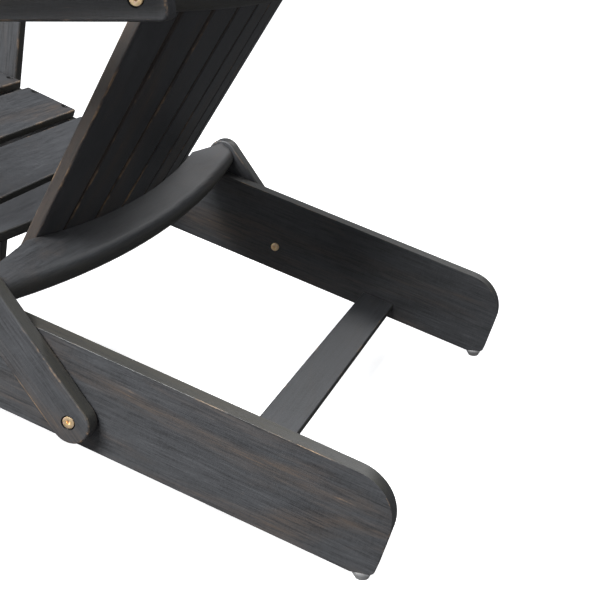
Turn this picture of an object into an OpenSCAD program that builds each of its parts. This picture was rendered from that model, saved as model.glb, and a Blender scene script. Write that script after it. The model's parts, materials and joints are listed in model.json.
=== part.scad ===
// Folding adirondack chair, all dimensions in millimetres.
// The sitter faces -Y, +Z is up, and +X is the sitter's left hand.
// Z = 0 is the floor under the four glides.

/* [Side legs] */

// Clear width between the two side legs
leg_gap = 530; // [440:1:620]
// Thickness of a side leg board
leg_t = 18; // [12:0.5:28]
// Width of a side leg board
leg_w = 101; // [70:1:150]
// Slope of the side legs, down towards the rear, in degrees
leg_slope = 17.2; // [10:0.1:26]
// Height of the top edge of a side leg where it crosses Y = 0
leg_top_z = 229.7; // [180:0.1:300]
// Distance along the leg from Y = 0 to its rear end
leg_rear = 441.6; // [300:0.1:560]
// Distance along the leg from Y = 0 to its front end
leg_front = 456; // [380:1:560]
// Radius of the rear top corner
leg_corner_r = 46.5; // [10:0.5:60]
// Radius of the two front corners
leg_nose_r = 30; // [10:1:50]
// Height of the foot cut above the floor, filled by the glide
foot_z = 9; // [4:0.5:20]
// Radius of the heel, where the rear end meets the foot cut
heel_r = 6; // [2:0.5:12]

/* [Seat] */

// Thickness of a seat slat
slat_t = 12; // [8:0.5:20]
// Width of a seat slat, front to rear
slat_w = 80; // [50:1:110]
// Radius of the curved rear edge of the last slat
last_slat_r = 850; // [500:10:1500]
// Distance of a seat screw from the slat edge
seat_screw_edge = 15; // [8:1:30]

/* [Cross pieces] */

// Width of the rear stretcher, along the legs
stretcher_w = 44; // [30:1:80]
// Thickness of the rear stretcher
stretcher_t = 12; // [8:1:24]
// Distance along the leg from Y = 0 to the stretcher front edge
stretcher_front = 265; // [180:0.5:340]
// Depth of the stretcher top below the leg top edge
stretcher_drop = 80; // [50:0.5:88]
// Height of the front apron
apron_h = 58; // [30:1:80]
// Thickness of the front apron
apron_t = 18; // [12:1:24]

/* [Struts] */

// Distance between the two strut pivots
strut_len = 142; // [100:1:180]
// Width of a strut
strut_w = 41; // [30:0.5:60]
// How far the round ends of a strut are centred beyond its pivots
strut_over = 2; // [0:0.5:8]
// Thickness of a strut
strut_t = 18; // [12:0.5:28]
// Forward lean of a strut from upright, in degrees
strut_lean = 35.65; // [10:0.05:60]
// Position of the strut pivot along the leg from Y = 0
strut_pivot_u = 129.3; // [90:0.1:180]
// Depth of the strut pivot below the leg top edge
strut_pivot_drop = 68.85; // [40:0.05:80]
// Free space between a fixed board and the moving board beside it
board_gap = 2; // [1:0.1:4]

/* [Back] */

// Lean of the back from upright, in degrees
back_lean = 33.2; // [20:0.1:40]
// Y of the rear face of the middle slat at height back_z
back_y = 25.6; // [0:0.1:60]
// Height of the reference point on the rear face of the middle slat
back_z = 250; // [200:0.5:300]
// Width of a back slat
back_slat_w = 53; // [40:0.5:70]
// Thickness of a back slat
back_slat_t = 13.3; // [8:0.5:20]
// Reach of an outermost slat past its own centre line, at its bottom
outer_low = 15; // [12:0.1:27]
// The same reach at the height where that slat becomes parallel
outer_high = 30.3; // [20:0.1:36]
// Height up the back where an outermost slat becomes parallel
outer_s = 300; // [150:5:400]
// Sideways spacing of the back slats at the reference point
slat_pitch = 56.9; // [45:0.1:75]
// Growth of that spacing per millimetre up the back
slat_fan = 0.0107; // [0:0.0001:0.05]
// How far each slat stands forward, times its number squared
slat_sag = 1.58; // [0:0.01:4]
// Growth of that forward step per millimetre up the back
slat_sag_fan = 0.0012; // [0:0.0001:0.005]
// Top of the middle slat, measured up the back
back_top = 790; // [600:1:900]
// Radius of the arch cut across the slat tops
arch_r = 300; // [200:5:600]
// Thickness of both curved rails, along the back
rail_t = 30; // [20:1:45]

/* [Lower rail] */

// Middle of the lower rail, measured up the back
lower_s = -10.3; // [-40:0.1:20]
// Depth of the lower rail at its middle
lower_depth = 43.7; // [30:0.1:60]
// Radius of the hollow front face of the lower rail
lower_front_r = 1060; // [800:10:1500]
// Radius of the rounded rear face of the lower rail
lower_rear_r = 1490; // [900:10:2500]

/* [Upper rail] */

// Middle of the upper rail, measured up the back
upper_s = 318.7; // [260:0.1:380]
// Depth of the upper rail at its middle
upper_depth = 42; // [30:0.1:60]
// Radius of the hollow front face of the upper rail
upper_front_r = 965; // [700:10:1500]
// Radius of the rounded rear face of the upper rail
upper_rear_r = 1750; // [900:10:2500]

/* [Arms] */

// Upward tilt of the arms towards the rear, in degrees
arm_tilt = 2.07; // [0:0.01:6]
// Height of the arm beam
beam_h = 44; // [30:1:80]
// Thickness of the arm beam
beam_t = 18; // [12:0.5:28]
// Height of the back pivot above the bottom of the beam
beam_pivot_h = 18; // [10:0.5:30]
// Beam length behind the back pivot
beam_rear = 26; // [15:1:50]
// Thickness of an arm board
arm_t = 18; // [12:0.5:28]
// Width of an arm board
arm_w = 112; // [80:1:150]
// Length of an arm board
arm_len = 655; // [500:5:760]

/* [Front legs] */

// Width of a front leg
front_leg_w = 60; // [40:1:100]
// Thickness of a front leg
front_leg_t = 18; // [12:0.5:28]
// Rearward lean of the front legs going up, in degrees
front_leg_lean = 10.9; // [0:0.1:20]
// Y of the pivot between front leg and side leg
front_pivot_y = -338; // [-400:0.5:-280]
// Height of that pivot
front_pivot_z = 275; // [240:0.5:310]
// Distance from that pivot up to the arm pivot
front_leg_len = 220; // [180:0.5:260]

/* [Fasteners] */

// Diameter of the pivot bolts
bolt_d = 6; // [5:0.5:10]
// Radial running clearance of a board on its pivot bolt
pivot_clear = 0.08; // [0.02:0.01:0.10]
// Head diameter of the pivot bolts
bolt_head_d = 12; // [9:0.5:18]
// Thickness of a pivot washer
washer_t = 1.6; // [0.8:0.1:3]
// Outer diameter of a pivot washer
washer_d = 16; // [12:0.5:24]
// Diameter of the wood screw shanks
screw_d = 4; // [3:0.5:6]
// Diameter of the wood screw heads
screw_head_d = 9; // [6:0.5:12]
// Diameter of the foot glides
glide_d = 19; // [14:1:30]

/* [Hidden] */

$fn = 64;
leg_in = leg_gap / 2;
leg_out = leg_in + leg_t;
link_in = leg_out + board_gap;
link_out = link_in + strut_t;
beam_in = link_out + board_gap;
beam_out = beam_in + beam_t;
leg_mid_x = leg_in + leg_t / 2;
link_mid_x = link_in + strut_t / 2;
beam_mid_x = beam_in + beam_t / 2;
bolt_r = bolt_d / 2;
fit = 0.05;
head_h = 3;
head_sink = 0.6;
head_room = 1.5;
head_floor = 0.4;
recess = head_h + head_sink + head_floor;
socket_r = 2.3;
socket_floor = 1;
nut_r = 4.4;
nut_len = 12.5;
nut_flange_r = 5.5;
nut_flange_t = 2.4;
end_room = 0.5;
bolt_start = 2;
dowel_r = 4;
dowel_half = 12;
dowel_edge = 12;
apron_dowel_edge = 14;
screw_sink = 4;
screw_head_h = 2.2;
screw_socket = 1.2;
screw_socket_r = 1.7;
screw_head_gap = 1;
last_screw_y = [9, 24];
seat_screw_len = 34;
back_screw_len = 30;
arm_screw_len = 42;
rail_r = rail_t / 2;
cut_front = 5;
cut_rear = 9;
back_screw_x = 14;
outer_screw_x = 6;
slat_room = 0.5;
slat_turn = 2.1;
hip_len = 90;
hip_end = 10;
hip_step = 3;
rail_web = 100;
insert_len = 24;
insert_r = 5;
insert_floor = 2;
insert_gap = 0.2;
rail_bolt_in = 20;

// Rear top edge of each seat slat, front slat first, and its tilt
slat_y = [-370, -284.7, -200.3, -119];
slat_z = [354, 328.7, 292.5, 255.5];
slat_tilt = [8, 17, 20.7, 21];
last_front_y = -112;
last_front_z = 252.6;
last_tilt = -2;
last_w = 80;
last_end_w = 34;
slat_half = leg_out - 1;

// Front apron, foot glides and arms
apron_y = -433;
apron_top = 341;
rear_glide_y = 381;
glide_rim = 3;
glide_taper = 6;
beam_len = 560;
beam_top = beam_h - beam_pivot_h;
beam_rear_r = 6;
beam_nose_r = 20;
arm_in = link_in + 2;
arm_rear = 22;
arm_taper = 26;
arm_straight = 260;
arm_nose_r = 26;
arm_screw_y = [-480, -250, -20];

// Pivot points of the fold, in the Y-Z plane
strut_py = strut_pivot_u * cos(leg_slope) - strut_pivot_drop * sin(leg_slope);
strut_pz = leg_top_z - strut_pivot_u * sin(leg_slope) - strut_pivot_drop * cos(leg_slope);
rail_py = strut_py - strut_len * sin(strut_lean);
rail_pz = strut_pz + strut_len * cos(strut_lean);
upper_d = 4.6;
arm_py = back_y + upper_s * sin(back_lean) + upper_d * cos(back_lean);
arm_pz = back_z + upper_s * cos(back_lean) - upper_d * sin(back_lean);
knee_y = front_pivot_y + front_leg_len * sin(front_leg_lean);
knee_z = front_pivot_z + front_leg_len * cos(front_leg_lean);
knee_nut_in = 0.4;
knee_nut_floor = 3;
knee_gap = 0.2;
foot_len = (front_pivot_z - foot_z) / cos(front_leg_lean);

wood = "#4b4c4e";
bare_wood = "#9b7b55";
metal = "#c9a24a";
steel = "#b9bcc0";
rubber = "#2b2b2b";

// ---- frames and helpers ----

// Leg frame: local Y runs down the leg, local Z stands off its top edge
module leg_frame() {
    translate([0, 0, leg_top_z])
        rotate([-leg_slope, 0, 0])
            children();
}

// Back frame: local Z runs up the back, local Y points to the rear
module back_frame() {
    translate([0, back_y, back_z])
        rotate([-back_lean, 0, 0])
            children();
}

// Arm frame: origin on the back pivot, local Y runs along the arm
module arm_frame() {
    translate([0, arm_py, arm_pz])
        rotate([arm_tilt, 0, 0])
            children();
}

// Front leg frame: origin on the side leg pivot, local Z up the leg
module front_frame() {
    translate([0, front_pivot_y, front_pivot_z])
        rotate([-front_leg_lean, 0, 0])
            children();
}

// Frame on the rear top edge of seat slat i
module slat_frame(i) {
    translate([0, slat_y[i], slat_z[i]])
        rotate([-slat_tilt[i], 0, 0])
            children();
}

// Frame on the front top edge of the last seat slat
module last_frame() {
    translate([0, last_front_y, last_front_z])
        rotate([-last_tilt, 0, 0])
            children();
}

// Board cut from a flat Y-Z outline, from x to x + t
module board(x, t) {
    translate([x, 0, 0])
        rotate([90, 0, 90])
            linear_extrude(t)
                children();
}

// Repeats a right-hand shape on the other side
module both_sides() {
    children();
    mirror([1, 0, 0])
        children();
}

// Pin along X, from x1 to x2
module pin(x1, x2, r) {
    translate([x1, 0, 0])
        rotate([0, 90, 0])
            cylinder(h = x2 - x1, r = r);
}

// Waste outside a rounded corner of radius r, corner at the origin
module corner_waste(r) {
    translate([-r, -r])
        difference() {
            square([r + 1, r + 1]);
            circle(r);
        }
}

module at_strut_pivot() {
    translate([0, strut_py, strut_pz])
        children();
}

module at_rail_pivot() {
    translate([0, rail_py, rail_pz])
        children();
}

module at_arm_pivot() {
    translate([0, arm_py, arm_pz])
        children();
}

module at_front_pivot() {
    translate([0, front_pivot_y, front_pivot_z])
        children();
}

module at_knee() {
    translate([0, knee_y, knee_z])
        children();
}

// ---- fasteners ----

// Pivot bolt with a hex socket; the head ends just under x_face
module bolt(x_tip, x_face) {
    head = x_face - head_sink - head_h;
    difference() {
        union() {
            pin(x_tip, head + 0.01, bolt_r);
            pin(head, head + head_h, bolt_head_d / 2);
        }
        translate([head + socket_floor, 0, 0])
            rotate([0, 90, 0])
                cylinder(h = head_h, r = socket_r, $fn = 6);
    }
}

// Hole for a pivot bolt with its head recess, open at x_face
module bolt_hole(x_tip, x_face, r) {
    pin(x_tip, x_face + 1, r);
    pin(x_face - recess, x_face + 1, bolt_head_d / 2 + head_room);
}

// Sleeve nut: flange against x_face, sleeve towards +X
module sleeve_nut(x_face, length) {
    difference() {
        union() {
            pin(x_face - nut_flange_t, x_face, nut_flange_r);
            pin(x_face - 0.01, x_face + length, nut_r);
        }
        pin(x_face + 1, x_face + length + 1, bolt_r + fit);
        translate([x_face - 3, 0, 0])
            rotate([0, 90, 0])
                cylinder(h = 2.6, r = socket_r, $fn = 6);
    }
}

module washer(x) {
    difference() {
        pin(x, x + washer_t, washer_d / 2);
        pin(x - 1, x + washer_t + 1, bolt_r + fit);
    }
}

// Wood screw pointing down -Z, head sunk below the surface at Z = 0
module screw(length) {
    difference() {
        union() {
            translate([0, 0, -screw_sink - screw_head_h])
                cylinder(h = screw_head_h, d = screw_head_d);
            translate([0, 0, -length])
                cylinder(h = length - screw_sink - screw_head_h + 0.01, d = screw_d);
        }
        translate([0, 0, -screw_sink - screw_socket])
            cylinder(h = 2, r = screw_socket_r, $fn = 6);
    }
}

// Hole for the same screw
module screw_hole(length) {
    translate([0, 0, -length - end_room])
        cylinder(h = length + end_room + 1, d = screw_d + 2 * fit);
    translate([0, 0, -screw_sink - screw_head_h])
        cylinder(h = screw_sink + screw_head_h + 1.6, d = screw_head_d + screw_head_gap);
}

// Screw positions of the seat, one screw per call of children()
module seat_screw_places() {
    for (i = [0 : 3])
        for (y = [-seat_screw_edge, seat_screw_edge - slat_w])
            for (x = [-leg_mid_x, leg_mid_x])
                slat_frame(i)
                    translate([x, y, 0])
                        children();
    for (y = last_screw_y)
        for (x = [-leg_mid_x, leg_mid_x])
            last_frame()
                translate([x, y, 0])
                    children();
}

// Screw positions of slat i at height s, local -Z into the rail
module back_screw_places(i, s) {
    right_x = i == -3 ? outer_screw_x : back_screw_x;
    left_x = i == 3 ? outer_screw_x : back_screw_x;
    for (x = [-right_x, left_x])
        slat_place(i)
            translate([x, -back_slat_t - slat_room, s])
                rotate([90, 0, 0])
                    children();
}

// ---- side legs ----

// Places where the leg top is cut away for the seat, world Y-Z
module seat_cut() {
    for (i = [0 : 3])
        translate([slat_y[i], slat_z[i]])
            rotate(-slat_tilt[i])
                translate([-slat_w - cut_front, -slat_t])
                    square([slat_w + cut_front + cut_rear, 60]);
    translate([last_front_y, last_front_z])
        rotate(-last_tilt)
            translate([-cut_front, -slat_t])
                square([last_end_w + cut_front + cut_rear, 60]);
    translate([slat_y[0] - 200, slat_z[0] - 4])
        square([200 - slat_w, 100]);
}

// Waste outside the rounded heel of a side leg, in the leg frame
module heel_waste() {
    heel_y = leg_rear - heel_r;
    heel_z = (foot_z + heel_r - leg_top_z) / cos(leg_slope) + heel_y * tan(leg_slope);
    far = 1.5 * heel_r;
    translate([heel_y, heel_z])
        difference() {
            polygon([[0, 0], [heel_r + 1, 0], [heel_r + 1, -2 * heel_r],
                    [far * sin(leg_slope), -far * cos(leg_slope)]]);
            circle(heel_r);
        }
}

// Outline of a side leg in the leg frame
module leg_outline() {
    difference() {
        translate([-leg_front, -leg_w])
            square([leg_front + leg_rear, leg_w]);
        translate([leg_rear, 0])
            corner_waste(leg_corner_r);
        translate([-leg_front, -leg_w])
            rotate(180)
                corner_waste(leg_nose_r);
        translate([0, (foot_z - leg_top_z) / cos(leg_slope)])
            rotate(leg_slope)
                translate([0, -200])
                    square([800, 200]);
        heel_waste();
    }
}

module side_leg() {
    difference() {
        leg_frame()
            board(leg_in, leg_t)
                leg_outline();
        board(leg_in - 1, leg_t + 2)
            seat_cut();
        at_strut_pivot()
            pin(leg_in - 1, leg_out + 1, bolt_r + fit);
        at_strut_pivot()
            pin(leg_in - 1, leg_in + nut_len + end_room, nut_r + fit);
        at_front_pivot()
            pin(leg_in - 1, leg_out + 1, bolt_r + fit);
        at_front_pivot()
            pin(leg_in - 1, leg_in + nut_len + end_room, nut_r + fit);
        seat_screw_places()
            screw_hole(seat_screw_len);
        dowel_places()
            dowel_hole();
    }
}

module side_leg_left() {
    color(wood)
        side_leg();
}

module side_leg_right() {
    color(wood)
        mirror([1, 0, 0])
            side_leg();
}

// ---- seat slats ----

module seat_slat(i) {
    difference() {
        slat_frame(i)
            translate([-slat_half, -slat_w, -slat_t])
                cube([2 * slat_half, slat_w, slat_t]);
        seat_screw_places()
            screw_hole(seat_screw_len);
    }
}

module seat_slat_1() {
    color(wood)
        seat_slat(0);
}

module seat_slat_2() {
    color(wood)
        seat_slat(1);
}

module seat_slat_3() {
    color(wood)
        seat_slat(2);
}

module seat_slat_4() {
    color(wood)
        seat_slat(3);
}

// Last slat: its rear edge bulges to follow the hollow of the back
module seat_slat_5() {
    color(wood)
        difference() {
            last_frame()
                translate([0, 0, -slat_t])
                    linear_extrude(slat_t)
                        intersection() {
                            translate([-slat_half, 0])
                                square([2 * slat_half, last_w]);
                            translate([0, last_w - last_slat_r])
                                circle(last_slat_r, $fn = 256);
                        }
            seat_screw_places()
                screw_hole(seat_screw_len);
        }
}

// ---- cross pieces ----

module rear_stretcher() {
    color(wood)
        difference() {
            leg_frame()
                translate([-leg_in, stretcher_front, -stretcher_drop - stretcher_t])
                    cube([leg_gap, stretcher_w, stretcher_t]);
            both_sides()
                dowel_places()
                    dowel_hole();
        }
}

module front_apron() {
    color(wood)
        difference() {
            translate([-leg_in, apron_y, apron_top - apron_h])
                cube([leg_gap, apron_t, apron_h]);
            both_sides()
                dowel_places()
                    dowel_hole();
        }
}

module dowel_hole() {
    half = dowel_half + end_room;
    pin(leg_in - half, leg_in + half, dowel_r + fit);
}

// Two dowels per joint of the stretcher and of the apron
module dowel_places() {
    for (y = [dowel_edge, stretcher_w - dowel_edge])
        leg_frame()
            translate([0, stretcher_front + y, -stretcher_drop - stretcher_t / 2])
                children();
    for (z = [apron_dowel_edge, apron_h - apron_dowel_edge])
        translate([0, apron_y + apron_t / 2, apron_top - apron_h + z])
            children();
}

module frame_dowels() {
    color(bare_wood)
        both_sides()
            dowel_places()
                pin(leg_in - dowel_half, leg_in + dowel_half, dowel_r);
}

// ---- seat frame hardware ----

module seat_screws() {
    color(steel)
        seat_screw_places()
            screw(seat_screw_len);
}

// Nail-on glide: low dome on the floor, disc against the foot
module glide() {
    cylinder(h = foot_z - glide_rim, d1 = glide_d - glide_taper, d2 = glide_d);
    translate([0, 0, foot_z - glide_rim - 0.01])
        cylinder(h = glide_rim + 0.01, d = glide_d);
}

module rear_glides() {
    color(steel)
        both_sides()
            translate([leg_mid_x, rear_glide_y, 0])
                glide();
}

module leg_bolts() {
    color(metal)
        both_sides() {
            at_strut_pivot()
                bolt(leg_in + bolt_start, link_out);
            at_front_pivot()
                bolt(leg_in + bolt_start, link_out);
        }
}

module leg_sleeve_nuts() {
    color(metal)
        both_sides() {
            at_strut_pivot()
                sleeve_nut(leg_in, nut_len);
            at_front_pivot()
                sleeve_nut(leg_in, nut_len);
        }
}

module leg_washers() {
    color(rubber)
        both_sides() {
            at_strut_pivot()
                washer(leg_out);
            at_front_pivot()
                washer(leg_out);
        }
}

// ---- struts ----

module strut() {
    difference() {
        at_strut_pivot()
            rotate([strut_lean, 0, 0])
                board(link_in, strut_t)
                    union() {
                        translate([0, -strut_over])
                            circle(d = strut_w);
                        translate([0, strut_len + strut_over])
                            circle(d = strut_w);
                        translate([-strut_w / 2, -strut_over])
                            square([strut_w, strut_len + 2 * strut_over]);
                    }
        at_strut_pivot()
            bolt_hole(link_in - 1, link_out, bolt_r + pivot_clear);
        at_rail_pivot()
            bolt_hole(link_in - 1, link_out, bolt_r + pivot_clear);
    }
}

module strut_left() {
    color(wood)
        strut();
}

module strut_right() {
    color(wood)
        mirror([1, 0, 0])
            strut();
}

// ---- curved rails ----

// Waste in front of a rail: the hollow for the slats and the two sloping hips
module rail_waste(half, front_r) {
    hip = half - hip_len;
    hip_d = -front_r + sqrt(front_r * front_r - hip * hip) - hip_step;
    translate([0, 0, -rail_t])
        linear_extrude(2 * rail_t) {
            translate([0, -front_r])
                circle(front_r, $fn = 256);
            for (m = [0, 1])
                mirror([m, 0])
                    polygon([[hip, hip_d], [half + 1, -hip_end], [half + 1, -220], [hip, -220]]);
        }
}

// Curved rail lying across the back, its middle at local Z = 0
module rail_body(half, depth, front_r, rear_r) {
    core_r = rear_r - rail_r;
    sweep = asin(half / core_r) + 1;
    difference() {
        intersection() {
            translate([0, depth - rear_r, 0])
                rotate([0, 0, 90 - sweep])
                    rotate_extrude(angle = 2 * sweep, $fn = 256)
                        union() {
                            translate([core_r - rail_web, -rail_r])
                                square([rail_web, rail_t]);
                            translate([core_r, 0])
                                circle(rail_r, $fn = 64);
                        }
            translate([-half, -300, -rail_t])
                cube([2 * half, 600, 2 * rail_t]);
        }
        rail_waste(half, front_r);
    }
}

module lower_back_rail() {
    color(wood)
        difference() {
            back_frame()
                translate([0, 0, lower_s])
                    rail_body(leg_out, lower_depth, lower_front_r, lower_rear_r);
            both_sides()
                at_rail_pivot()
                    insert_hole(leg_out);
            for (i = [-3 : 3])
                back_frame()
                    back_screw_places(i, lower_s)
                        screw_hole(back_screw_len);
        }
}

module upper_back_rail() {
    color(wood)
        difference() {
            back_frame()
                translate([0, 0, upper_s])
                    rail_body(link_out, upper_depth, upper_front_r, upper_rear_r);
            both_sides()
                at_arm_pivot()
                    insert_hole(link_out);
            for (i = [-3 : 3])
                back_frame()
                    back_screw_places(i, upper_s)
                        screw_hole(back_screw_len);
        }
}

// ---- back slats ----

// Places slat i in the back frame, i = 0 is the middle slat
module slat_place(i) {
    translate([i * slat_pitch, -slat_sag * i * i, 0])
        rotate([atan(slat_sag_fan * i * i), atan(slat_fan * i), 0])
            rotate([0, 0, -atan(slat_turn * slat_sag * i / slat_pitch)])
                children();
}

// Blank of slat i before the arch is cut; an outermost slat narrows downwards
module slat_blank(i) {
    bottom = lower_s - rail_r;
    top = back_top + 10;
    half = back_slat_w / 2;
    if (abs(i) == 3)
        mirror([i < 0 ? 1 : 0, 0])
            polygon([[-half, bottom], [outer_low, bottom], [outer_high, outer_s],
                    [outer_high, top], [-half, top]]);
    else
        translate([-half, bottom])
            square([back_slat_w, top - bottom]);
}

module back_slat(i) {
    top_pitch = slat_pitch + slat_fan * back_top;
    color(wood)
        difference() {
            back_frame()
                slat_place(i)
                    translate([0, -slat_room, 0])
                        rotate([90, 0, 0])
                            linear_extrude(back_slat_t)
                                intersection() {
                                    slat_blank(i);
                                    translate([-i * top_pitch, back_top - arch_r])
                                        union() {
                                            circle(arch_r, $fn = 128);
                                            translate([-500, -1000])
                                                square([1000, 1000]);
                                        }
                                }
            for (s = [lower_s, upper_s])
                back_frame()
                    back_screw_places(i, s)
                        screw_hole(back_screw_len);
        }
}

module back_slat_1() {
    back_slat(3);
}

module back_slat_2() {
    back_slat(2);
}

module back_slat_3() {
    back_slat(1);
}

module back_slat_4() {
    back_slat(0);
}

module back_slat_5() {
    back_slat(-1);
}

module back_slat_6() {
    back_slat(-2);
}

module back_slat_7() {
    back_slat(-3);
}

// ---- back hardware ----

module insert_hole(x_face) {
    pin(x_face - insert_len - insert_gap, x_face + 1, insert_r + fit);
}

// Threaded insert let into the end of a rail
module insert(x_face) {
    difference() {
        pin(x_face - insert_len, x_face - insert_gap, insert_r);
        pin(x_face - insert_len + insert_floor, x_face + 1, bolt_r + fit);
    }
}

module back_screws() {
    color(steel)
        for (i = [-3 : 3])
            for (s = [lower_s, upper_s])
                back_frame()
                    back_screw_places(i, s)
                        screw(back_screw_len);
}

module back_bolts() {
    color(metal)
        both_sides() {
            at_rail_pivot()
                bolt(leg_out - rail_bolt_in, link_out);
            at_arm_pivot()
                bolt(link_out - rail_bolt_in, beam_out);
        }
}

module back_inserts() {
    color(metal)
        both_sides() {
            at_rail_pivot()
                insert(leg_out);
            at_arm_pivot()
                insert(link_out);
        }
}

module back_washers() {
    color(rubber)
        both_sides() {
            at_rail_pivot()
                washer(leg_out);
            at_arm_pivot()
                washer(link_out);
        }
}

// ---- arms ----

// Plan of an arm board, X across and local Y along the arm
module arm_plan() {
    front = arm_rear - arm_len;
    difference() {
        polygon([[arm_in, front], [arm_in + arm_w, front], [arm_in + arm_w, front + arm_straight],
                [arm_in + arm_w - arm_taper, arm_rear], [arm_in, arm_rear]]);
        translate([arm_in + arm_w, front])
            rotate(-90)
                corner_waste(arm_nose_r);
        translate([arm_in, front])
            rotate(180)
                corner_waste(arm_nose_r);
    }
}

module arm_screw_places() {
    for (y = arm_screw_y)
        arm_frame()
            translate([beam_mid_x, y, beam_top + arm_t])
                children();
}

module arm_board() {
    difference() {
        arm_frame()
            translate([0, 0, beam_top])
                linear_extrude(arm_t)
                    arm_plan();
        arm_screw_places()
            screw_hole(arm_screw_len);
    }
}

module arm_board_left() {
    color(wood)
        arm_board();
}

module arm_board_right() {
    color(wood)
        mirror([1, 0, 0])
            arm_board();
}

module arm_beam() {
    difference() {
        arm_frame()
            board(beam_in, beam_t)
                difference() {
                    translate([beam_rear - beam_len, -beam_pivot_h])
                        square([beam_len, beam_h]);
                    translate([beam_rear, -beam_pivot_h])
                        rotate(-90)
                            corner_waste(beam_rear_r);
                    translate([beam_rear - beam_len, -beam_pivot_h])
                        rotate(180)
                            corner_waste(beam_nose_r);
                }
        at_arm_pivot()
            bolt_hole(beam_in - 1, beam_out, bolt_r + pivot_clear);
        at_knee()
            bolt_hole(beam_in - 1, beam_out, bolt_r + fit);
        arm_screw_places()
            screw_hole(arm_screw_len);
    }
}

module arm_beam_left() {
    color(wood)
        arm_beam();
}

module arm_beam_right() {
    color(wood)
        mirror([1, 0, 0])
            arm_beam();
}

module arm_screws() {
    color(steel)
        arm_screw_places()
            screw(arm_screw_len);
}

module arm_screws_left() {
    arm_screws();
}

module arm_screws_right() {
    mirror([1, 0, 0])
        arm_screws();
}

// The knee bolt ends inside the beam, so the knee stays open
module knee_bolt() {
    color(metal)
        at_knee()
            bolt(beam_in + knee_gap, beam_out);
}

module knee_bolt_left() {
    knee_bolt();
}

module knee_bolt_right() {
    mirror([1, 0, 0])
        knee_bolt();
}

// ---- front legs ----

module front_leg() {
    difference() {
        front_frame()
            board(link_in, front_leg_t)
                difference() {
                    union() {
                        translate([0, front_leg_len])
                            circle(d = front_leg_w);
                        translate([-front_leg_w / 2, -foot_len - 20])
                            square([front_leg_w, foot_len + 20 + front_leg_len]);
                    }
                    translate([0, -foot_len])
                        rotate(front_leg_lean)
                            translate([-200, -200])
                                square([400, 200]);
                }
        at_front_pivot()
            bolt_hole(link_in - 1, link_out, bolt_r + pivot_clear);
        at_knee()
            pin(link_in - 1, link_out + 1, nut_r + fit);
    }
}

module front_leg_left() {
    color(wood)
        front_leg();
}

module front_leg_right() {
    color(wood)
        mirror([1, 0, 0])
            front_leg();
}

// Sleeve nut that takes the knee bolt
module knee_nut() {
    color(metal)
        at_knee()
            difference() {
                pin(link_in + knee_nut_in, link_out - knee_gap, nut_r);
                pin(link_in + knee_nut_floor, link_out + 1, bolt_r + fit);
            }
}

module knee_nut_left() {
    knee_nut();
}

module knee_nut_right() {
    mirror([1, 0, 0])
        knee_nut();
}

module knee_washer() {
    color(rubber)
        at_knee()
            washer(link_out);
}

module knee_washer_left() {
    knee_washer();
}

module knee_washer_right() {
    mirror([1, 0, 0])
        knee_washer();
}

module front_glide() {
    color(steel)
        translate([link_mid_x, front_pivot_y - foot_len * sin(front_leg_lean), 0])
            glide();
}

module front_glide_left() {
    front_glide();
}

module front_glide_right() {
    mirror([1, 0, 0])
        front_glide();
}

side_leg_left();
side_leg_right();
seat_slat_1();
seat_slat_2();
seat_slat_3();
seat_slat_4();
seat_slat_5();
rear_stretcher();
front_apron();
frame_dowels();
seat_screws();
rear_glides();
leg_bolts();
leg_sleeve_nuts();
leg_washers();
strut_left();
strut_right();
lower_back_rail();
upper_back_rail();
back_slat_1();
back_slat_2();
back_slat_3();
back_slat_4();
back_slat_5();
back_slat_6();
back_slat_7();
back_screws();
back_bolts();
back_inserts();
back_washers();
arm_board_left();
arm_board_right();
arm_beam_left();
arm_beam_right();
arm_screws_left();
arm_screws_right();
knee_bolt_left();
knee_bolt_right();
front_leg_left();
front_leg_right();
knee_nut_left();
knee_nut_right();
knee_washer_left();
knee_washer_right();
front_glide_left();
front_glide_right();
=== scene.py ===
"""Looks of a folding adirondack chair in brushed charcoal stain, on a pale floor in soft light."""

import json
import math

import bmesh
import bpy
import numpy as np
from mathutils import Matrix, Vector

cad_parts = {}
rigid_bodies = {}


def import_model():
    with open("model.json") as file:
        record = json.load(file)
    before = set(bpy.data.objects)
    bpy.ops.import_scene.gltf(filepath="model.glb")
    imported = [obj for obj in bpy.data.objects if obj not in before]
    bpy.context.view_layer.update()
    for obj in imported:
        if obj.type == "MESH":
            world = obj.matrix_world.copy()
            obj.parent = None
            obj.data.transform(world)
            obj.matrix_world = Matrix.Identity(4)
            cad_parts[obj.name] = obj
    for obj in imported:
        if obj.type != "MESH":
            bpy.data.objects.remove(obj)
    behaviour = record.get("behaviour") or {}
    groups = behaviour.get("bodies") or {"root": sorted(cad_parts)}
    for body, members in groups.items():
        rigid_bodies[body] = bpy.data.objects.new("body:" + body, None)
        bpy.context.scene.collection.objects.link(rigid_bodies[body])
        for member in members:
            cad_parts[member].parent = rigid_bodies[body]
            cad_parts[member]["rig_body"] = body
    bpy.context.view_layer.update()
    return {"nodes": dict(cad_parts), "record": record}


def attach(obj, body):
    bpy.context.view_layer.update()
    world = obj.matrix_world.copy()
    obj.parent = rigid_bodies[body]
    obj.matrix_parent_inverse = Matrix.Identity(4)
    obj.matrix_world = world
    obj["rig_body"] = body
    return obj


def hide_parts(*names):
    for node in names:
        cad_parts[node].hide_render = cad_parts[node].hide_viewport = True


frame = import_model()
slot_of = {s["node"]: s["material_slot"] for s in frame["record"]["subparts"]}

MM = 0.001
WELD = 0.002 * MM
FLAT_ANGLE = math.radians(0.4)
SHARP_ANGLE = math.radians(32)
HOLE_SIZE = 30 * MM
HARDWARE_RADIUS = 0.35 * MM
EDGE_SEGMENTS = 4
HARDWARE_SEGMENTS = 2
NORMAL_WEIGHT = 50
SEED = 20

# Sockets of a colour mix node
MIX_FACTOR = 0
MIX_A = 6
MIX_B = 7
MIX_RESULT = 2

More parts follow.
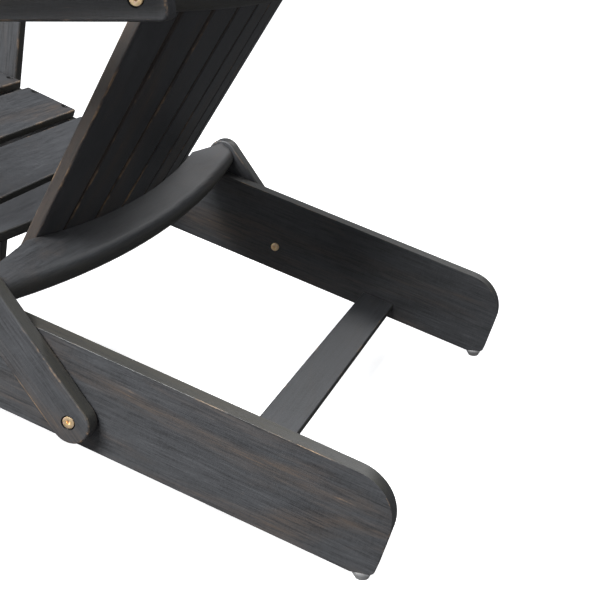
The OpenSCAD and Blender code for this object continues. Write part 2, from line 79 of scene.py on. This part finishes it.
# Radius of the rounded edges of each kind of board
EDGE_RADIUS = {
    "side_leg": 3.0 * MM,
    "seat_slat": 2.6 * MM,
    "back_slat": 2.2 * MM,
    "strut": 2.6 * MM,
    "lower_back_rail": 4.5 * MM,
    "upper_back_rail": 4.5 * MM,
    "arm_board": 4.0 * MM,
    "arm_beam": 2.6 * MM,
    "front_leg": 3.0 * MM,
    "rear_stretcher": 2.2 * MM,
    "front_apron": 2.2 * MM,
}


# ---- meshes ----


def board_axes(obj):
    """Long, wide and thin direction of a board, and its middle, from its surface."""
    mesh = obj.data
    corners = np.array([v.co for v in mesh.vertices], float)
    tris = np.array([list(p.vertices) for p in mesh.polygons])
    a, b, c = corners[tris[:, 0]], corners[tris[:, 1]], corners[tris[:, 2]]
    area = np.linalg.norm(np.cross(b - a, c - a), axis=1)
    middle = ((a + b + c) / 3 * area[:, None]).sum(0) / area.sum()
    spread = np.zeros((3, 3))
    for p, q in ((a, b), (b, c), (c, a)):
        half = (p + q) / 2 - middle
        spread += (half * area[:, None]).T @ half
    values, vectors = np.linalg.eigh(spread)
    axes = vectors.T[::-1].copy()
    for axis in axes:
        if axis[np.argmax(np.abs(axis))] < 0:
            axis *= -1
    return axes, middle


def sharp_loops(bm):
    """Groups of sharp edges that join, each as a list."""
    sharp = {e for e in bm.edges if len(e.link_faces) == 2 and e.calc_face_angle(0) > SHARP_ANGLE}
    groups = []
    while sharp:
        todo, group = [sharp.pop()], []
        while todo:
            edge = todo.pop()
            group.append(edge)
            for vert in edge.verts:
                for other in vert.link_edges:
                    if other in sharp:
                        sharp.remove(other)
                        todo.append(other)
        groups.append(group)
    return groups


def size_of(edges):
    """Diagonal of the box around a group of edges."""
    points = np.array([v.co for e in edges for v in e.verts])
    return float(np.linalg.norm(points.max(0) - points.min(0)))


def mark_bores(bm, loops):
    """Marks the wall of each small hole, where the wood material paints shade: the smaller of the
    two faces at its rim.
    """
    bore = bm.faces.layers.float.new("bore")
    for group in loops:
        if size_of(group) <= HOLE_SIZE:
            for edge in group:
                wall = min(edge.link_faces, key=lambda f: f.calc_area())
                wall[bore] = 1.0


def round_edges(bm, outline, radius):
    """Rounds the outline, and marks the vertices that lie wholly in the rounding."""
    made = bmesh.ops.bevel(
        bm,
        geom=outline,
        offset=radius,
        segments=EDGE_SEGMENTS,
        profile=0.5,
        affect="EDGES",
        clamp_overlap=True,
    )
    edge = bm.verts.layers.float.new("edge")
    bore = bm.faces.layers.float["bore"]
    rounded = set(made["faces"])
    for face in rounded:
        face[bore] = 0.0
        for vert in face.verts:
            if all(f in rounded for f in vert.link_faces):
                vert[edge] = 1.0


def mark_faces(bm, wide, warm_share):
    """Marks the narrow sides of a board, and how warm its stain is there."""
    side = bm.faces.layers.float.new("side")
    warm = bm.faces.layers.float.new("warm")
    for face in bm.faces:
        face[side] = abs(face.normal.dot(Vector(wide)))
        face[warm] = warm_share


def mark_grain(bm, axes, middle, shift):
    """Gives each vertex its place along, across and through the board, shifted per board."""
    grain = bm.verts.layers.float_vector.new("grain")
    for vert in bm.verts:
        local = axes @ (np.array(vert.co) - middle) + shift
        vert[grain] = Vector(local)


def soft_board(node, radius, rng):
    """The board of a CAD node with its outline rounded and with grain coordinates on it."""
    source = frame["nodes"][node]
    axes, middle = board_axes(source)
    bm = bmesh.new()
    bm.from_mesh(source.data)
    bmesh.ops.remove_doubles(bm, verts=bm.verts, dist=WELD)
    bmesh.ops.dissolve_limit(bm, angle_limit=FLAT_ANGLE, verts=bm.verts, edges=bm.edges)
    loops = sharp_loops(bm)
    outline = [e for group in loops if size_of(group) > HOLE_SIZE for e in group]
    mark_bores(bm, loops)
    round_edges(bm, outline, radius)
    mark_faces(bm, axes[1], float(node.startswith("back_slat")))
    mark_grain(bm, axes, middle, rng.uniform(-5, 5, 3))
    mesh = bpy.data.meshes.new(node + "_soft")
    bm.to_mesh(mesh)
    bm.free()
    mesh.shade_smooth()
    piece = bpy.data.objects.new(node + "_wood", mesh)
    bpy.context.scene.collection.objects.link(piece)
    keep = piece.modifiers.new("flat_faces", "WEIGHTED_NORMAL")
    keep.keep_sharp = True
    keep.weight = NORMAL_WEIGHT
    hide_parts(node)
    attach(piece, source["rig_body"])
    return piece


def crisp(node, radius):
    """A small metal or plastic node keeps its CAD mesh and gets fine rounded edges."""
    obj = frame["nodes"][node]
    obj.modifiers.new("weld", "WELD").merge_threshold = WELD
    bevel = obj.modifiers.new("round", "BEVEL")
    bevel.width = radius
    bevel.segments = HARDWARE_SEGMENTS
    bevel.limit_method = "ANGLE"
    bevel.angle_limit = SHARP_ANGLE
    bevel.harden_normals = False
    obj.data.shade_smooth()
    return obj


# ---- materials ----


class Shader:
    """A short way to write a node tree."""

    def __init__(self, name):
        self.material = bpy.data.materials.new(name)
        self.material.use_nodes = True
        self.tree = self.material.node_tree
        self.bsdf = self.tree.nodes["Principled BSDF"]

    def node(self, kind, inputs=None, **settings):
        made = self.tree.nodes.new(kind)
        for key, value in settings.items():
            setattr(made, key, value)
        for key, value in (inputs or {}).items():
            self.put(made.inputs[key], value)
        return made

    def put(self, socket, value):
        if isinstance(value, bpy.types.NodeSocket):
            self.tree.links.new(value, socket)
        else:
            socket.default_value = value

    def attribute(self, name, output):
        return self.node("ShaderNodeAttribute", attribute_name=name).outputs[output]

    def maths(self, operation, a, b, clamp=False):
        made = self.node("ShaderNodeMath", {0: a, 1: b}, operation=operation, use_clamp=clamp)
        return made.outputs[0]

    def weighted(self, *pairs):
        """Sum of values, each times its weight."""
        parts = [self.maths("MULTIPLY", value, weight) for value, weight in pairs]
        total = parts[0]
        for part in parts[1:]:
            total = self.maths("ADD", total, part)
        return total

    def place(self):
        return self.node("ShaderNodeTexCoord").outputs["Object"]

    def stretch(self, vector, scale, offset=(0, 0, 0)):
        inputs = {"Vector": vector, "Scale": scale, "Location": offset}
        return self.node("ShaderNodeMapping", inputs).outputs[0]

    def noise(self, vector, detail, rough=0.55, distortion=0.0):
        inputs = {
            "Vector": vector,
            "Scale": 1.0,
            "Detail": detail,
            "Roughness": rough,
            "Distortion": distortion,
        }
        return self.node("ShaderNodeTexNoise", inputs).outputs["Fac"]

    def step(self, value, low, high, to_low=0.0, to_high=1.0):
        inputs = {
            "Value": value,
            "From Min": low,
            "From Max": high,
            "To Min": to_low,
            "To Max": to_high,
        }
        made = self.node("ShaderNodeMapRange", inputs, interpolation_type="SMOOTHSTEP")
        return made.outputs["Result"]

    def mix(self, factor, a, b):
        made = self.node("ShaderNodeMix", data_type="RGBA")
        self.put(made.inputs[MIX_FACTOR], factor)
        self.put(made.inputs[MIX_A], a)
        self.put(made.inputs[MIX_B], b)
        return made.outputs[MIX_RESULT]

    def bump(self, height, distance, strength):
        inputs = {"Height": height, "Distance": distance, "Strength": strength}
        return self.node("ShaderNodeBump", inputs).outputs[0]

    def surface(self, **values):
        for key, value in values.items():
            self.put(self.bsdf.inputs[key.replace("_", " ")], value)
        return self.material


CHARCOAL_DEEP = (0.025, 0.0255, 0.0268, 1)
CHARCOAL = (0.050, 0.052, 0.056, 1)
CHARCOAL_PALE = (0.088, 0.091, 0.096, 1)
BROWN = (0.084, 0.062, 0.047, 1)
OLIVE = (0.048, 0.046, 0.037, 1)
RUSSET = (0.062, 0.047, 0.037, 1)
TAN = (0.36, 0.235, 0.135, 1)
# Near black for painted shade on the walls of the small holes
BORE_PAINTED_SHADE = (0.002, 0.002, 0.002, 1)

# Noise cells per metre along, across and through a board
FIBRE = (70, 1700, 1700)
FINE = (24, 430, 430)
STREAK = (7, 150, 150)
CROSS = (520, 120, 120)
BLOTCH = (6, 22, 22)
PATCH = (3.2, 15, 15)
CHIP = (26, 60, 60)

# How dark the hole walls are painted as shade, how tan the wear shows, and the height of the grain
BORE_SHADE_SHARE = 0.93
TAN_SHARE = 0.75
SCUFF_SHARE = 0.4
WOOD_BUMP = 0.4 * MM


def stained_wood():
    """Dark brushed stain, thin on the brushed streaks and rubbed through to tan on the edges, with
    painted shade on the hole walls.
    """
    s = Shader("brushed_stained_wood")
    grain = s.attribute("grain", "Vector")
    edge = s.attribute("edge", "Fac")
    side = s.attribute("side", "Fac")
    warm = s.attribute("warm", "Fac")
    bore = s.attribute("bore", "Fac")
    fibre = s.noise(s.stretch(grain, FIBRE), 2, 0.6)
    fine = s.noise(s.stretch(grain, FINE), 4, 0.7)
    streak = s.noise(s.stretch(grain, STREAK), 4, 0.6, 0.4)
    cross = s.noise(s.stretch(grain, CROSS), 3, 0.6)
    blotch = s.noise(s.stretch(grain, BLOTCH), 4, 0.6, 0.5)
    patch = s.noise(s.stretch(grain, PATCH, (3.1, 1.7, 0.6)), 5, 0.68, 0.8)
    chip = s.noise(s.stretch(grain, CHIP, (1.3, 4.2, 2.6)), 4, 0.7)
    tone = s.weighted((fine, 0.42), (streak, 0.20), (fibre, 0.12), (cross, 0.12), (blotch, 0.20))
    colour = s.mix(s.step(tone, 0.40, 0.58), CHARCOAL_DEEP, CHARCOAL)
    colour = s.mix(s.step(tone, 0.55, 0.72, 0.0, 0.8), colour, CHARCOAL_PALE)
    browned = s.step(fine, 0.38, 0.62, 0.15, 0.7)
    brown = s.maths("MULTIPLY", s.step(patch, 0.48, 0.72), browned, True)
    colour = s.mix(brown, colour, BROWN)
    mottled = s.step(tone, 0.40, 0.62, 0.25, 0.85)
    narrow = s.maths("MULTIPLY", s.step(side, 0.5, 0.9), mottled, True)
    colour = s.mix(narrow, colour, s.mix(warm, OLIVE, RUSSET))
    worn = s.weighted((chip, 0.5), (patch, 0.35), (fine, 0.25))
    rubbed = s.maths("MULTIPLY", s.step(worn, 0.56, 0.70), edge, True)
    scuffed = s.maths("MULTIPLY", s.step(worn, 0.64, 0.76), s.step(fine, 0.52, 0.68), True)
    rubbed = s.maths("MAXIMUM", rubbed, s.maths("MULTIPLY", scuffed, SCUFF_SHARE))
    colour = s.mix(s.maths("MULTIPLY", rubbed, TAN_SHARE), colour, TAN)
    # Painted shade: the walls of the small holes are painted near black
    colour = s.mix(s.maths("MULTIPLY", bore, BORE_SHADE_SHARE), colour, BORE_PAINTED_SHADE)
    rough = s.step(tone, 0.4, 0.7, 0.38, 0.55)
    height = s.weighted((fine, 0.6), (streak, 0.4), (cross, 0.2), (fibre, 0.4))
    normal = s.bump(height, WOOD_BUMP, 0.7)
    return s.surface(Base_Color=colour, Roughness=rough, Normal=normal, Specular_IOR_Level=0.45)


def bare_wood():
    """Plain unstained wood of the dowels, hidden in the joints."""
    s = Shader("bare_dowel_wood")
    fibre = s.noise(s.stretch(s.place(), (40, 900, 900)), 4)
    colour = s.mix(fibre, (0.30, 0.20, 0.12, 1), (0.50, 0.37, 0.24, 1))
    return s.surface(Base_Color=colour, Roughness=0.7, Normal=s.bump(fibre, 0.2 * MM, 0.5))


ZINC = ((0.95, 0.64, 0.30, 1), (1.0, 0.84, 0.56, 1), (1.0, 0.72, 0.68, 1))
BLACK_STEEL = ((0.030, 0.030, 0.032, 1), (0.07, 0.07, 0.074, 1), (0.08, 0.065, 0.05, 1))
NICKEL = ((0.72, 0.72, 0.73, 1), (0.95, 0.95, 0.95, 1), (0.8, 0.78, 0.74, 1))
ROUGH_WANDER = 0.12


def plated(name, colours, rough):
    """Plated metal with a slight wander of colour, as a thin coating has."""
    s = Shader(name)
    place = s.place()
    cloud = s.noise(s.stretch(place, (260, 260, 260)), 3)
    scratch = s.noise(s.stretch(place, (900, 5000, 900)), 2)
    hue = s.noise(s.stretch(place, (420, 420, 420), (4, 2, 7)), 2)
    dark, bright, tint = colours
    colour = s.mix(cloud, dark, bright)
    colour = s.mix(s.step(hue, 0.5, 0.68, 0.0, 0.7), colour, tint)
    return s.surface(
        Base_Color=colour,
        Metallic=1.0,
        Roughness=s.step(scratch, 0.3, 0.7, rough, rough + ROUGH_WANDER),
        Normal=s.bump(scratch, 0.03 * MM, 0.4),
    )


def washer_plastic():
    """Black nylon with a fine grit."""
    s = Shader("black_nylon")
    grit = s.noise(s.stretch(s.place(), (1500, 1500, 1500)), 3)
    colour = s.mix(grit, (0.012, 0.012, 0.013, 1), (0.03, 0.03, 0.032, 1))
    return s.surface(Base_Color=colour, Roughness=0.55, Normal=s.bump(grit, 0.05 * MM, 0.5))


MATERIALS = {
    "stained_wood": stained_wood(),
    "bare_wood": bare_wood(),
    "yellow_zinc": plated("yellow_zinc", ZINC, 0.42),
    "screw_steel": plated("black_screw_steel", BLACK_STEEL, 0.4),
    "washer_plastic": washer_plastic(),
    "glide_chrome": plated("glide_nickel", NICKEL, 0.45),
}


def dress():
    """Every node gets its material; boards get rounded edges and grain, hardware a fine bevel."""
    rng = np.random.default_rng(SEED)
    for node in sorted(frame["nodes"]):
        slot = slot_of[node]
        if slot == "stained_wood":
            kind = next(k for k in EDGE_RADIUS if node.startswith(k))
            piece = soft_board(node, EDGE_RADIUS[kind], rng)
        else:
            piece = crisp(node, HARDWARE_RADIUS)
        piece.data.materials.clear()
        piece.data.materials.append(MATERIALS[slot])


# ---- stage, light and camera ----


FLOOR_SEEN = (0.86, 0.86, 0.86, 1)
FLOOR_BOUNCE = (0.08, 0.08, 0.082, 1)
FLOOR_HALF = 12


def floor():
    """Pale floor: white to camera rays, dark to all others, so it throws little light back up."""
    bm = bmesh.new()
    bmesh.ops.create_grid(bm, x_segments=1, y_segments=1, size=FLOOR_HALF)
    mesh = bpy.data.meshes.new("floor")
    bm.to_mesh(mesh)
    bm.free()
    made = bpy.data.objects.new("floor", mesh)
    bpy.context.scene.collection.objects.link(made)
    s = Shader("pale_floor")
    mottle = s.noise(s.stretch(s.place(), (6, 6, 6)), 3)
    direct = s.node("ShaderNodeLightPath").outputs["Is Camera Ray"]
    s.surface(
        Base_Color=s.mix(direct, FLOOR_BOUNCE, FLOOR_SEEN),
        Emission_Color=(1, 1, 1, 1),
        Emission_Strength=s.maths("MULTIPLY", direct, s.step(mottle, 0.3, 0.7, 0.80, 0.82)),
        Roughness=0.9,
        Specular_IOR_Level=0.1,
    )
    mesh.materials.append(s.material)


def area_light(name, place, target, size, power):
    """Rectangular lamp that faces its target; it lights the scene and isn't seen."""
    lamp = bpy.data.lights.new(name, "AREA")
    lamp.shape = "RECTANGLE"
    lamp.size, lamp.size_y = size
    lamp.energy = power
    made = bpy.data.objects.new(name, lamp)
    made.visible_camera = False
    made.location = place
    made.rotation_euler = (Vector(target) - Vector(place)).to_track_quat("-Z", "Y").to_euler()
    bpy.context.scene.collection.objects.link(made)


SKY_HIGH = (0.27, 0.285, 0.315, 1)
SKY_LOW = (0.062, 0.062, 0.066, 1)
SKY_SEEN = (1, 1, 1, 1)
SKY_DARKEST = -0.2
SKY_BRIGHTEST = 0.9

# Place, target, size and power in watts of each lamp
LAMPS = {
    "top_soft": ((0.2, -1.8, 2.6), (0, -0.2, 0.3), (2.0, 2.0), 48),
    "side_soft": ((1.8, -0.3, 2.0), (0, 0.1, 0.1), (1.2, 0.9), 128),
    "far_soft": ((-2.4, 1.1, 2.15), (0, 0.1, 0.2), (1.6, 1.2), 27),
    "rear_soft": ((0.8, 3.2, 0.6), (0, 0, 0.3), (2.4, 1.2), 12),
    "glint_card": ((2.6, -1.5, 0.25), (0, 0, 0.3), (2.0, 0.9), 13),
}


def sky():
    """World that camera rays see white, while its light comes mostly from above."""
    world = bpy.data.worlds.new("studio")
    world.use_nodes = True
    tree = world.node_tree
    place = tree.nodes.new("ShaderNodeTexCoord").outputs["Generated"]
    split = tree.nodes.new("ShaderNodeSeparateXYZ")
    tree.links.new(place, split.inputs[0])
    up = tree.nodes.new("ShaderNodeMapRange")
    up.interpolation_type = "SMOOTHSTEP"
    tree.links.new(split.outputs["Z"], up.inputs["Value"])
    up.inputs["From Min"].default_value = SKY_DARKEST
    up.inputs["From Max"].default_value = SKY_BRIGHTEST
    shade = tree.nodes.new("ShaderNodeMix")
    shade.data_type = "RGBA"
    tree.links.new(up.outputs["Result"], shade.inputs[MIX_FACTOR])
    shade.inputs[MIX_A].default_value = SKY_LOW
    shade.inputs[MIX_B].default_value = SKY_HIGH
    seen = tree.nodes.new("ShaderNodeMix")
    seen.data_type = "RGBA"
    direct = tree.nodes.new("ShaderNodeLightPath").outputs["Is Camera Ray"]
    tree.links.new(direct, seen.inputs[MIX_FACTOR])
    tree.links.new(shade.outputs[MIX_RESULT], seen.inputs[MIX_A])
    seen.inputs[MIX_B].default_value = SKY_SEEN
    tree.links.new(seen.outputs[MIX_RESULT], tree.nodes["Background"].inputs["Color"])
    bpy.context.scene.world = world


def lights():
    for name, (place, target, size, power) in LAMPS.items():
        area_light(name, place, target, size, power)


CAMERA_PLACE = Vector((1.1416, 0.6144, 0.6036))
CAMERA_AZIMUTH = math.radians(108.68)
CAMERA_DROP = math.radians(20.38)
CAMERA_LENS = 68.75


def camera():
    data = bpy.data.cameras.new("camera")
    data.lens = CAMERA_LENS
    data.sensor_width = 36
    data.clip_start = 0.02
    made = bpy.data.objects.new("camera", data)
    made.location = CAMERA_PLACE
    made.rotation_euler = (math.pi / 2 - CAMERA_DROP, 0, CAMERA_AZIMUTH)
    bpy.context.scene.collection.objects.link(made)
    bpy.context.scene.camera = made


dress()
floor()
sky()
lights()
camera()
bpy.context.scene.view_settings.view_transform = "Standard"
